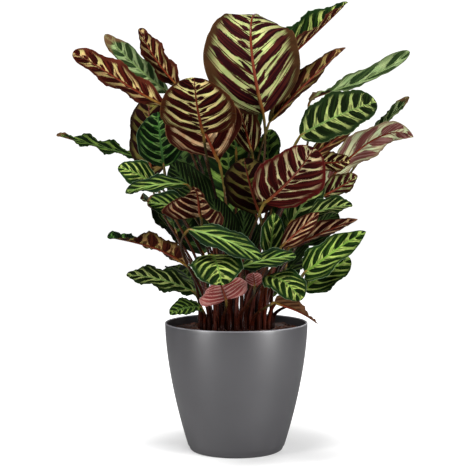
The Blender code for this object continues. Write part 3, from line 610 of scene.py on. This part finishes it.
def leaf_face(name, colours, bar, oval, band, line, rough):
    """One face of a blade.

    Broad dark bars follow the side veins and short dark ovals stand between them at the midrib.
    Fine streaks run along both, the pale field dulls outwards to a dark band, and the margin
    itself is thin.
    """
    pale, pale_warm, dark, dark_warm, margin, rib, edge = (linear(code) for code in colours.split())
    material, tree, shader = new_material(name, IOR=1.42, Specular_IOR_Level=0.03)
    veins = add(tree, "UVMap", uv_map="veins")
    place = add(tree, "UVMap", uv_map="place")
    phase, across, _ = add(tree, "SeparateXYZ", {0: veins}).node.outputs
    ages = add(tree, "UVMap", uv_map="age")
    dryness, number, _ = add(tree, "SeparateXYZ", {0: ages}).node.outputs
    reach = add(tree, "Math", {0: across}, operation="ABSOLUTE")
    left = add(tree, "Math", {0: across, 1: 0.0}, operation="LESS_THAN")
    # Slow uneven growth bends the bars and changes their tone, in patches of about 12 and
    # 36 mm. Streaks follow the side veins, about ten to a bar. The real ones are finer, and
    # these are as coarse as they need to be to show.
    growth = add(tree, "TexNoise", {"Vector": place, "Scale": 0.8, "Detail": 3.0})
    slow = add(tree, "TexNoise", {"Vector": place, "Scale": 0.28, "Detail": 1.0})
    wobble = add(tree, "MapRange", {0: slow, 1: 0.3, 2: 0.7, 3: -0.09, 4: 0.09})
    stretched = add(tree, "VectorMath", {0: veins, 1: (10.0, 0.9, 1.0)}, operation="MULTIPLY")
    streaks = add(tree, "TexNoise", {"Vector": stretched, "Scale": 1.0, "Detail": 3.0})
    phase = add(tree, "Math", {0: left, 1: LEFT_VEIN_SHIFT, 2: phase}, operation="MULTIPLY_ADD")
    phase = add(tree, "Math", {0: phase, 1: wobble}, operation="ADD")
    cell = add(tree, "Math", {0: phase}, operation="FLOOR")
    cell = add(tree, "Math", {0: left, 1: 37.0, 2: cell}, operation="MULTIPLY_ADD")
    cell = add(tree, "Math", {0: number, 1: 91.0, 2: cell}, operation="MULTIPLY_ADD")
    chance = add(tree, "TexWhiteNoise", {"W": cell}, noise_dimensions="1D")
    part = add(tree, "Math", {0: phase}, operation="FRACT")
    from_bar = add(tree, "Math", {0: part, 1: 0.5}, operation="SUBTRACT")
    from_bar = add(tree, "Math", {0: from_bar}, operation="ABSOLUTE")
    # The bars' edges are ragged every 4 or 5 mm, and split where the streaks run through them.
    ragged = add(tree, "TexNoise", {"Vector": place, "Scale": 2.2, "Detail": 2.0})
    ragged = add(tree, "MapRange", {0: ragged, 1: 0.3, 2: 0.7, 3: -0.02, 4: 0.02})
    from_bar = add(tree, "Math", {0: from_bar, 1: ragged}, operation="ADD")
    split_ends = add(tree, "MapRange", {0: streaks, 1: 0.3, 2: 0.7, 3: -0.035, 4: 0.035})
    from_bar = add(tree, "Math", {0: from_bar, 1: split_ends}, operation="ADD")
    # A bar is narrow where it leaves the midrib, broad half way out, and ends in a point.
    width_node = tree.nodes.new("ShaderNodeFloatCurve")
    shape = width_node.mapping.curves[0]
    shape.points[0].location = (0.0, 0.08)
    shape.points[1].location = (1.0, 0.04)
    for spot, width in ((0.08, 0.26), (0.25, 0.42), (0.48, 0.52), (0.68, 0.46), (0.86, 0.22)):
        shape.points.new(spot, width)
    width_node.mapping.update()
    feed(tree, width_node, Value=reach)
    vary = add(tree, "MapRange", {0: chance, 3: bar * 0.80, 4: bar * 1.15})
    width = add(tree, "Math", {0: width_node.outputs[0], 1: vary}, operation="MULTIPLY")
    past = add(tree, "Math", {0: from_bar, 1: width}, operation="SUBTRACT")
    bars = add(tree, "MapRange", {0: past, 1: -0.02, 2: 0.02, 3: 1.0, 4: 0.0})
    # The short ovals are midway between two bars, a little way out from the midrib.
    beside = add(tree, "MapRange", {0: from_bar, 1: 0.5, 2: 0.5 - 0.15, 3: 0.0, 4: 1.0},
                 clamp=False)
    centre = add(tree, "MapRange", {0: chance, 3: -0.10, 4: -0.18})
    outward = add(tree, "Math", {0: reach, 1: centre}, operation="ADD")
    outward = add(tree, "Math", {0: outward, 1: 7.5}, operation="MULTIPLY")
    spot = add(tree, "Math", {0: beside, 1: beside}, operation="MULTIPLY")
    spot = add(tree, "Math", {0: outward, 1: outward, 2: spot}, operation="MULTIPLY_ADD")
    ovals = add(tree, "MapRange", {0: spot, 1: 0.7, 2: 1.1, 3: oval, 4: 0.0})
    marks = add(tree, "Math", {0: bars, 1: ovals}, operation="MAXIMUM")
    fine = add(tree, "MapRange", {0: streaks, 1: 0.52, 2: 0.56})
    faint = add(tree, "Math", {0: fine, 1: line}, operation="MULTIPLY")
    warm = add(tree, "MapRange", {0: growth, 1: 0.38, 2: 0.62})
    pale = add(tree, "MixRGB", {0: warm, 1: pale, 2: pale_warm})
    dull = add(tree, "MapRange", {0: reach, 1: band - 0.45, 2: band + 0.05, 4: 0.60})
    dull = add(tree, "Math", {0: dull, 1: faint}, operation="MAXIMUM")
    pale = add(tree, "MixRGB", {0: dull, 1: pale, 2: margin})
    dark = add(tree, "MixRGB", {0: faint, 1: dark, 2: dark_warm})
    field = add(tree, "MixRGB", {0: marks, 1: pale, 2: dark})
    # The dark band is uneven, and pale streaks run on into it.
    uneven = add(tree, "Math", {0: slow, 1: 0.30, 2: reach}, operation="MULTIPLY_ADD")
    uneven = add(tree, "Math", {0: streaks, 1: 0.35, 2: uneven}, operation="MULTIPLY_ADD")
    outer = add(tree, "MapRange", {0: uneven, 1: band + 0.325 - 0.07, 2: band + 0.325 + 0.07})
    field = add(tree, "MixRGB", {0: outer, 1: field, 2: margin})
    thin = add(tree, "MapRange", {0: reach, 1: 0.972, 2: 0.99, 4: 0.7})
    field = add(tree, "MixRGB", {0: thin, 1: field, 2: edge})
    ribs = add(tree, "UVMap", uv_map="rib")
    beside_rib = add(tree, "SeparateXYZ", {0: ribs}).node.outputs[1]
    from_rib = add(tree, "Math", {0: beside_rib}, operation="ABSOLUTE")
    on_rib = add(tree, "MapRange", {0: from_rib, 1: 0.7, 2: 1.2, 3: 1.0, 4: 0.0})
    field = add(tree, "MixRGB", {0: on_rib, 1: field, 2: rib})
    # Each leaf has its own tone, from its age and the light that it grew in. Slow patches make it uneven:
    # partly its own colour, partly painted shade of its waves.
    own = add(tree, "TexWhiteNoise", {"W": number}, noise_dimensions="1D")
    own = add(tree, "MapRange", {0: own, 3: 0.84, 4: 1.16})
    patch_and_painted_shade = add(tree, "MapRange", {0: slow, 1: 0.35, 2: 0.65, 3: 0.76, 4: 1.14})
    own = add(tree, "Math", {0: own, 1: patch_and_painted_shade}, operation="MULTIPLY")
    field = add(tree, "HueSaturation", {"Value": own, "Color": field})
    dried = add(tree, "MixRGB", {0: growth, 1: linear("#2e1a12"), 2: linear("#7c563c")})
    dry = add(tree, "Math", {0: ragged, 1: 4.0, 2: dryness}, operation="MULTIPLY_ADD")
    dry = add(tree, "MapRange", {0: dry, 1: 0.25, 2: 0.7, 4: 0.7})
    field = add(tree, "MixRGB", {0: dry, 1: field, 2: dried})
    # The skin's own grain is half a millimetre.
    grain = add(tree, "TexNoise", {"Vector": place, "Scale": 22.0, "Detail": 3.0})
    gloss = add(tree, "MapRange", {0: growth, 1: 0.3, 2: 0.7, 3: rough - 0.05, 4: rough + 0.08})
    relief = add(tree, "Math", {0: streaks, 1: 2.5, 2: grain}, operation="MULTIPLY_ADD")
    bump = add(tree, "Bump", {"Height": relief, "Strength": 0.6, "Distance": 0.0005})
    feed(tree, shader, Base_Color=field, Roughness=gloss, Normal=bump)
    return material


# Each leaf face: the colours of the pale field and its warmer parts, of the dark marks and their
# warmer parts, of the band along the margin, the midrib and the thin margin, then the bars'
# width, the ovals' strength, where the band starts, the streaks' strength and the roughness.
FACES = {
    "burgundy": ("#94a264 #a09c6a #1c0507 #38110e #301d0d #4a160e #4e3620", 0.64, 1.0, 0.81, 1.00, 0.62),
    "sepia": ("#dad88a #e2ca8a #1c0505 #3e120c #3a1c0d #4c180f #5c3c22", 0.69, 1.0, 0.82, 1.00, 0.62),
    "russet": ("#bab06e #c09c6a #240604 #48160d #421a10 #4e1a10 #5e3c26", 0.66, 1.0, 0.74, 0.95, 0.60),
    "wine": ("#b0ae7c #b6a07c #220606 #3e110e #3e0e0c #48120f #5c3028", 0.76, 1.0, 0.83, 0.90, 0.60),
    "shade": ("#5e602a #6c5830 #140403 #260a07 #1c1008 #34140b #342e16", 0.66, 0.8, 0.82, 0.50, 0.60),
    "bronze": ("#8e8246 #967248 #260b07 #3e1a0e #34200e #4e2210 #4e3a1e", 0.68, 0.9, 0.82, 0.90, 0.58),
    "copper": ("#cab086 #b88a62 #1e0504 #3c110a #2c0c07 #481a0e #6a4a30", 0.76, 0.6, 0.82, 0.80, 0.60),
    "umber": ("#381f12 #442c1a #140805 #220f08 #1a0b06 #30160c #382616", 0.70, 0.4, 0.78, 0.55, 0.55),
    "dusk": ("#a4b28a #aca884 #522c28 #70504a #64523f #623632 #80705a", 0.72, 0.3, 0.90, 0.95, 0.60),
    "pink": ("#bc9084 #c49c92 #702a2a #8e4a46 #844844 #d4acaa #cca49e", 0.76, 0.2, 0.96, 1.00, 0.56),
    "dry": ("#64462e #745034 #3a2214 #4e321e #34200f #402814 #6c5238", 0.46, 0.0, 0.90, 0.60, 0.75),
    "deep": ("#506a2c #627634 #071304 #122408 #0e1e08 #40582a #5c6e48", 0.68, 1.0, 0.84, 0.70, 0.56),
    # A very dark green for leaves deep in the clump: partly their own colour, partly painted shade there.
    "painted_shade_green": ("#2c401c #3a4a24 #050a03 #101c08 #0a1305 #26381a #28361a", 0.80, 0.2, 0.84, 0.90, 0.62),
    "bright": ("#869a48 #98a258 #071402 #162b0a #10240a #54702e #84987a", 0.70, 0.8, 0.78, 0.95, 0.58),
    "lime": ("#7f9844 #8e9e52 #071502 #182e09 #112609 #5a7a2c #7c9470", 0.70, 0.4, 0.84, 1.00, 0.58),
    "emerald": ("#3c6a28 #6c8c4c #050f04 #0e200a #0a1a09 #36582a #587456", 0.76, 0.6, 0.84, 1.00, 0.58),
    "ovals": ("#809050 #8c9456 #071002 #121f06 #12200a #566e38 #6c7c54", 0.74, 0.4, 0.78, 1.00, 0.60),
    "silver": ("#748a5a #8a9868 #1c2c14 #30401f #2c381e #6a804a #6c7458", 0.60, 0.6, 0.90, 0.75, 0.58),
    "striped": ("#64843a #86984a #071504 #182c0f #10200e #74904c #7c9478", 0.68, 0.3, 0.74, 1.00, 0.58),
}


def stalk_material():
    """Fleshy stalk with fine ridges: dark red-brown from the soil up, olive at its joint.

    Its smooth skin gives it narrow highlights.
    """
    material, tree, shader = new_material("fleshy_leaf_stalk", IOR=1.45, Roughness=0.25,
                                         Specular_IOR_Level=0.25)
    ribs = add(tree, "UVMap", uv_map="rib")
    share, turn, _ = add(tree, "SeparateXYZ", {0: ribs}).node.outputs
    half = add(tree, "Math", {0: share, 1: 0.5}, operation="MULTIPLY")
    coords = add(tree, "TexCoord").node.outputs["Object"]
    # Blotches of 16 mm shift the tones along it, and pale specks of 1.5 mm are strewn over it.
    blotch = add(tree, "TexNoise", {"Vector": coords, "Scale": 60.0, "Detail": 3.0})
    shift = add(tree, "MapRange", {0: blotch, 1: 0.3, 2: 0.7, 3: -0.05, 4: 0.05})
    along = add(tree, "Math", {0: half, 1: shift}, operation="ADD")
    tones = tree.nodes.new("ShaderNodeValToRGB")
    tones.color_ramp.elements[0].color = linear("#2e0c08")
    tones.color_ramp.elements[1].color = linear("#42200f")
    stops = ((0.10, "#4e1a10"), (0.28, "#40200f"), (0.40, "#3c2c12"), (0.46, "#5c5422"),
             (0.52, "#7a5c24"), (0.60, "#6a2814"), (0.85, "#5c2012"))
    for place, code in stops:
        tones.color_ramp.elements.new(place).color = linear(code)
    tree.links.new(along, tones.inputs[0])
    dots = add(tree, "TexNoise", {"Vector": coords, "Scale": 700.0, "Detail": 2.0})
    speck = add(tree, "MapRange", {0: dots, 1: 0.45, 2: 0.75, 4: 0.35})
    colour = add(tree, "MixRGB", {0: speck, 1: tones.outputs[0], 2: linear("#7c4a30")})
    # Most stalks are darkened at random, and a few are bright: partly their own tones, partly painted shade
    # among the stalks.
    ages = add(tree, "UVMap", uv_map="age")
    number = add(tree, "SeparateXYZ", {0: ages}).node.outputs[1]
    own = add(tree, "TexWhiteNoise", {"W": number}, noise_dimensions="1D")
    own = add(tree, "Math", {0: own, 1: 2.0}, operation="POWER")
    own = add(tree, "MapRange", {0: own, 3: 0.20, 4: 1.45})
    # Under the blade no midrib gets that painted shade, so none is as dark as the stalks of the thicket.
    lit = add(tree, "MapRange", {0: along, 1: 0.44, 2: 0.52, 3: 0.0, 4: 0.90})
    own = add(tree, "Math", {0: own, 1: lit}, operation="MAXIMUM")
    colour = add(tree, "HueSaturation", {"Value": own, "Color": colour})
    ridges = add(tree, "Math", {0: turn, 1: 2 * math.pi * STALK_RIDGES}, operation="MULTIPLY")
    ridges = add(tree, "Math", {0: ridges}, operation="SINE")
    bump = add(tree, "Bump", {"Height": ridges, "Strength": 0.25, "Distance": 0.0001})
    feed(tree, shader, Base_Color=colour, Normal=bump)
    return material


def pot_material():
    """Moulded plastic, matt from a finely etched mould, with the faint cloudiness of handling."""
    material, tree, shader = new_material(
        "etched_moulded_plastic", IOR=1.46, Specular_IOR_Level=1.0)
    coords = add(tree, "TexCoord").node.outputs["Object"]
    cloud = add(tree, "TexNoise", {"Vector": coords, "Scale": 14.0, "Detail": 4.0})
    tone = add(tree, "MapRange", {0: cloud, 1: 0.35, 2: 0.65})
    colour = add(tree, "MixRGB", {0: tone, 1: linear("#3c3b3e"), 2: linear("#403f42")})
    # The rim's rounded edge is painted paler: a painted highlight where it would catch the light.
    height = add(tree, "SeparateXYZ", {0: coords}).node.outputs[2]
    rim = POT_HEIGHT - RIM_ROUND
    edge = add(tree, "MapRange", {0: height, 1: rim - 0.001, 2: rim})
    colour = add(tree, "MixRGB", {0: edge, 1: colour, 2: linear("#7e7d81")})
    gloss = add(tree, "MapRange", {0: cloud, 1: 0.3, 2: 0.7, 3: 0.40, 4: 0.44})
    # The etch is about half a millimetre, and only dulls the highlights.
    etch = add(tree, "TexNoise", {"Vector": coords, "Scale": 1800.0, "Detail": 2.0})
    bump = add(tree, "Bump", {"Height": etch, "Strength": 0.25, "Distance": 0.00008})
    feed(tree, shader, Base_Color=colour, Roughness=gloss, Normal=bump)
    return material


def bark_material(name, pale, dark, size):
    """Damp composted bark: dark red-brown pieces of a size in metres, with pale dry corners."""
    material, tree, shader = new_material(name, IOR=1.4)
    coords = add(tree, "TexCoord").node.outputs["Object"]
    chips = add(tree, "TexVoronoi", {"Vector": coords, "Scale": 1 / size}, feature="F1")
    grain = add(tree, "TexNoise", {"Vector": coords, "Scale": 420.0, "Detail": 5.0})
    tone = add(tree, "MapRange", {0: grain, 1: 0.35, 2: 0.75})
    colour = add(tree, "MixRGB", {0: tone, 1: linear(dark), 2: linear(pale)})
    # Each piece darkens towards its edges: painted shade in the gaps between the pieces.
    deep = add(tree, "MapRange", {0: chips, 1: 0.45, 2: 0.75, 4: 0.7})
    colour = add(tree, "MixRGB", {0: deep, 1: colour, 2: linear("#0c0605")})
    damp = add(tree, "MapRange", {0: grain, 1: 0.3, 2: 0.7, 3: 0.6, 4: 0.95})
    relief = add(tree, "Math", {0: chips, 1: grain}, operation="SUBTRACT")
    bump = add(tree, "Bump", {"Height": relief, "Strength": 0.8, "Distance": 0.0012})
    feed(tree, shader, Base_Color=colour, Roughness=damp, Normal=bump)
    return material


def turned(name, profile, sides, material):
    """A smooth solid of revolution from a profile that starts and ends on the axis."""
    rings = np.array(profile[1:-1])
    angle = 2 * math.pi * np.arange(sides) / sides
    points = np.stack([
        rings[:, :1] * np.cos(angle), rings[:, :1] * np.sin(angle),
        rings[:, 1:] + 0 * angle], -1).reshape(-1, 3)
    faces = grid_faces(len(rings), sides, wrap=True)
    first, last = len(points), len(points) + 1
    top = (len(rings) - 1) * sides
    for k in range(sides):
        n = (k + 1) % sides
        faces.append((first, n, k))
        faces.append((last, top + k, top + n))
    mesh = bpy.data.meshes.new(name)
    ends = [(0, 0, profile[0][1]), (0, 0, profile[-1][1])]
    mesh.from_pydata(points.tolist() + ends, [], faces)
    mesh.polygons.foreach_set("use_smooth", [True] * len(faces))
    mesh.materials.append(material)
    mesh.update()
    return put(name, mesh)


def make_pot():
    """A thin moulded wall with a rounded foot, a soft rim and a flat floor inside."""
    flat = pot_radius(0) - FOOT_ROUND
    profile = [(0, 0.0), (flat, 0.0)]
    for k in range(1, 6):
        turn = math.pi / 2 * k / 5
        profile.append((flat + FOOT_ROUND * math.sin(turn), FOOT_ROUND * (1 - math.cos(turn))))
    for height in np.linspace(0.008, POT_HEIGHT - RIM_ROUND, 46):
        profile.append((pot_radius(height), height))
    middle, round_over = POT_RIM_RADIUS - POT_WALL / 2, POT_WALL / 2
    for k in range(1, 10):
        turn = math.pi * k / 10
        height = POT_HEIGHT - RIM_ROUND + RIM_ROUND * math.sin(turn)
        profile.append((middle + round_over * math.cos(turn), height))
    for height in np.linspace(POT_HEIGHT - 0.0014, 0.02, 24):
        profile.append((pot_radius(height) - POT_WALL, height))
    profile.append((pot_radius(POT_FLOOR) - 2 * POT_WALL, POT_FLOOR))
    profile.append((0, POT_FLOOR))
    return turned("pot_body", profile, 192, pot_material())


def mound_height(radius):
    """How high the soil is: highest in the middle, and lower towards the pot."""
    return MOUND_EDGE + MOUND_RISE * (1 - (radius / MOUND_RADIUS) ** 2)


def turn_about(axis, angle):
    """The matrix that turns a point about axis 0, 1 or 2."""
    first, second = (axis + 1) % 3, (axis + 2) % 3
    matrix = np.eye(3)
    matrix[first, first] = matrix[second, second] = math.cos(angle)
    matrix[second, first] = math.sin(angle)
    matrix[first, second] = -math.sin(angle)
    return matrix


def make_soil():
    """The mound of bark compost, rough on top, with loose chips of bark on it."""
    draw = np.random.default_rng(MOUND_SEED)
    profile = [(0, SOIL_BASE), (pot_radius(POT_FLOOR) - SOIL_FOOT_INSET, SOIL_BASE)]
    for height in (0.02, 0.05, 0.09, 0.13, 0.17, 0.179):
        profile.append((pot_radius(height) - SOIL_INSET, height))
    profile.append((0.1035, 0.1815))
    for radius in np.linspace(0.101, 0.003, 46):
        profile.append((radius, mound_height(radius)))
    profile.append((0, mound_height(0)))
    compost = bark_material("damp_bark_compost", "#5c3626", "#22120c", 0.005)
    mound = turned("potting_soil", profile, 160, compost)
    points = np.zeros(len(mound.data.vertices) * 3)
    mound.data.vertices.foreach_get("co", points)
    points = points.reshape(-1, 3)
    # Crossing ripples, from 90 mm down to 10 mm long, make the top uneven.
    lumps = np.zeros(len(points))
    for scale in (70, 160, 330, 640):
        for _ in range(5):
            way = draw.normal(size=2)
            way *= scale / np.linalg.norm(way) * draw.uniform(0.7, 1.4)
            lumps += np.sin(points[:, :2] @ way + draw.uniform(0, 6.28)) * 0.06 / scale
    top = points[:, 2] > 0.181
    points[top, 2] += lumps[top] * 1.3
    mound.data.vertices.foreach_set("co", points.ravel())
    mound.data.update()

    square = ((-1, -1), (1, -1), (1, 1), (-1, 1))
    corners = np.array([(x, y, z) for z in (-1, 1) for x, y in square], float)
    sides = [(3, 2, 1, 0), (4, 5, 6, 7), (0, 1, 5, 4), (1, 2, 6, 5), (2, 3, 7, 6), (3, 0, 4, 7)]
    points, faces = [], []
    for _ in range(CHIP_COUNT):
        radius = CHIP_SPREAD * math.sqrt(draw.uniform(0, 1))
        turn = draw.uniform(0, 2 * math.pi)
        size = np.array([draw.uniform(2, 8), draw.uniform(1.2, 4), draw.uniform(0.5, 1.6)]) / 2000
        chip = corners * size * draw.uniform(0.6, 1.15, (8, 3))
        spin, tip, roll = draw.uniform(0, 6.28), draw.normal(0, 0.35), draw.normal(0, 0.35)
        chip = chip @ (turn_about(2, spin) @ turn_about(1, tip) @ turn_about(0, roll)).T
        height = mound_height(radius) + draw.uniform(0, 0.0016)
        chip += np.array([radius * math.cos(turn), radius * math.sin(turn), height])
        first = len(points)
        points.extend(chip.tolist())
        faces.extend(tuple(first + corner for corner in side) for side in sides)
    mesh = bpy.data.meshes.new("bark_chips")
    mesh.from_pydata(points, [], faces)
    mesh.materials.append(bark_material("loose_bark_chips", "#7e4e3a", "#361b12", 0.011))
    return mound, put("bark_chips", mesh)


def make_leaves():
    """One piece for each leaf, in place of its solid."""
    faces = {name: leaf_face("leaf_face_" + name, *values) for name, values in FACES.items()}
    stalk = stalk_material()
    leaves = LEAVES + BACK_LEAVES
    roots = give_roots(leaves)
    for number, leaf in enumerate(leaves):
        points, facing = blade_curve(leaf)
        frames = frames_along(points, facing, 0.5)
        root = roots[leaf[0]]
        stem = frames_along(stem_curve(root, frames[0][0], frames[1][0]), frames[2][0], 1.0)
        behind = (*BACK_LOOKS[number % len(BACK_LOOKS)], *BACK_VEINS)
        look = THICKET_LOOK if leaf[0].startswith("fill") else LOOKS.get(leaf[0], behind)
        skin = Skin()
        add_blade(skin, leaf, frames, look[2:], number)
        add_stalk(skin, leaf, frames, stem, root, number)
        piece = skin.make("calathea_" + leaf[0], [faces[look[0]], faces[look[1]], stalk])
        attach(piece, "root")
        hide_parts("leaf_" + leaf[0])


def make_studio():
    """A pale floor in a white room, under soft boxes; its glow dims round the pot as a painted shadow.

    Two tall and two low ones stand in front, one is behind and one overhead.
    """
    mesh = bpy.data.meshes.new("floor")
    mesh.from_pydata([(-8, -8, 0), (8, -8, 0), (8, 8, 0), (-8, 8, 0)], [], [(0, 1, 2, 3)])
    material, tree, shader = new_material(
        "glowing_floor_with_painted_shadow", Roughness=0.9, Emission_Color=(1, 1, 1, 1))
    coords = add(tree, "TexCoord").node.outputs["Object"]
    cloud = add(tree, "TexNoise", {"Vector": coords, "Scale": 300.0, "Detail": 3.0})
    tone = add(tree, "MapRange", {0: cloud, 1: 0.3, 2: 0.7})
    colour = add(tree, "MixRGB", {0: tone, 1: linear("#b2b2b2"), 2: linear("#b8b8b8")})
    # It glows to the camera, and less near the middle: a painted shadow round the pot, added to the real one.
    # Only the camera sees that glow.
    away = add(tree, "VectorMath", {0: coords}, operation="LENGTH").node.outputs["Value"]
    floor_glow_with_painted_shadow = add(tree, "MapRange", {0: away, 1: 0.07, 2: 0.30, 3: 0.46, 4: 1.0},
               interpolation_type="SMOOTHSTEP")
    seen = add(tree, "LightPath").node.outputs["Is Camera Ray"]
    floor_glow_with_painted_shadow = add(tree, "Math", {0: floor_glow_with_painted_shadow, 1: seen}, operation="MULTIPLY")
    feed(tree, shader, Base_Color=colour, Emission_Strength=floor_glow_with_painted_shadow)
    mesh.materials.append(material)
    put("floor", mesh)

    # The room is white to the camera, and gives hardly any light.
    world = bpy.data.worlds.new("studio")
    bpy.context.scene.world = world
    world.use_nodes = True
    tree = world.node_tree
    background = tree.nodes["Background"]
    background.inputs["Color"].default_value = (1, 1, 1, 1)
    seen = add(tree, "LightPath").node.outputs["Is Camera Ray"]
    strength = add(tree, "MapRange", {0: seen, 3: 0.04, 4: 1.1})
    feed(tree, background, Strength=strength)

    # Each soft box: where it is, its width and height, and its power in watts.
    lamps = (
        ("box_left", (-1.65, -1.40, 0.90), (0.26, 1.20), 21),
        ("box_right", (1.65, -1.30, 0.90), (0.30, 1.20), 27),
        ("box_low_left", (-1.65, -1.40, 0.28), (0.22, 0.52), 16),
        ("box_low_right", (1.65, -1.30, 0.28), (0.26, 0.52), 22),
        ("box_rear", (0.70, 1.70, 1.30), (0.80, 0.80), 10),
        ("box_top", (-0.30, -0.65, 2.00), (0.50, 0.50), 41),
    )
    for name, spot, size, power in lamps:
        lamp = bpy.data.lights.new(name, "AREA")
        lamp.shape = "RECTANGLE"
        lamp.size, lamp.size_y = size
        lamp.energy = power
        holder = put(name, lamp)
        holder.location = spot
        aim = mathutils.Vector(LAMPS_AIM) - holder.location
        holder.rotation_euler = aim.to_track_quat("-Z", "Y").to_euler()

    camera = bpy.data.cameras.new("camera")
    camera.sensor_width = SENSOR_WIDTH
    camera.lens = SENSOR_WIDTH * FOCAL_LENGTH / IMAGE_WIDTH
    holder = put("camera", camera)
    holder.location = (EYE_ACROSS, -EYE_DISTANCE, EYE_HEIGHT)
    dip = math.atan((CENTRE_ROW - LEVEL_ROW) / FOCAL_LENGTH)
    holder.rotation_euler = (math.pi / 2 - dip, 0, 0)
    bpy.context.scene.camera = holder
    bpy.context.scene.view_settings.view_transform = "Standard"


pot = make_pot()
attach(pot, "root")
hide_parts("pot")
soil, chips = make_soil()
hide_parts("soil")
for piece in (soil, chips):
    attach(piece, "root")
make_leaves()
make_studio()
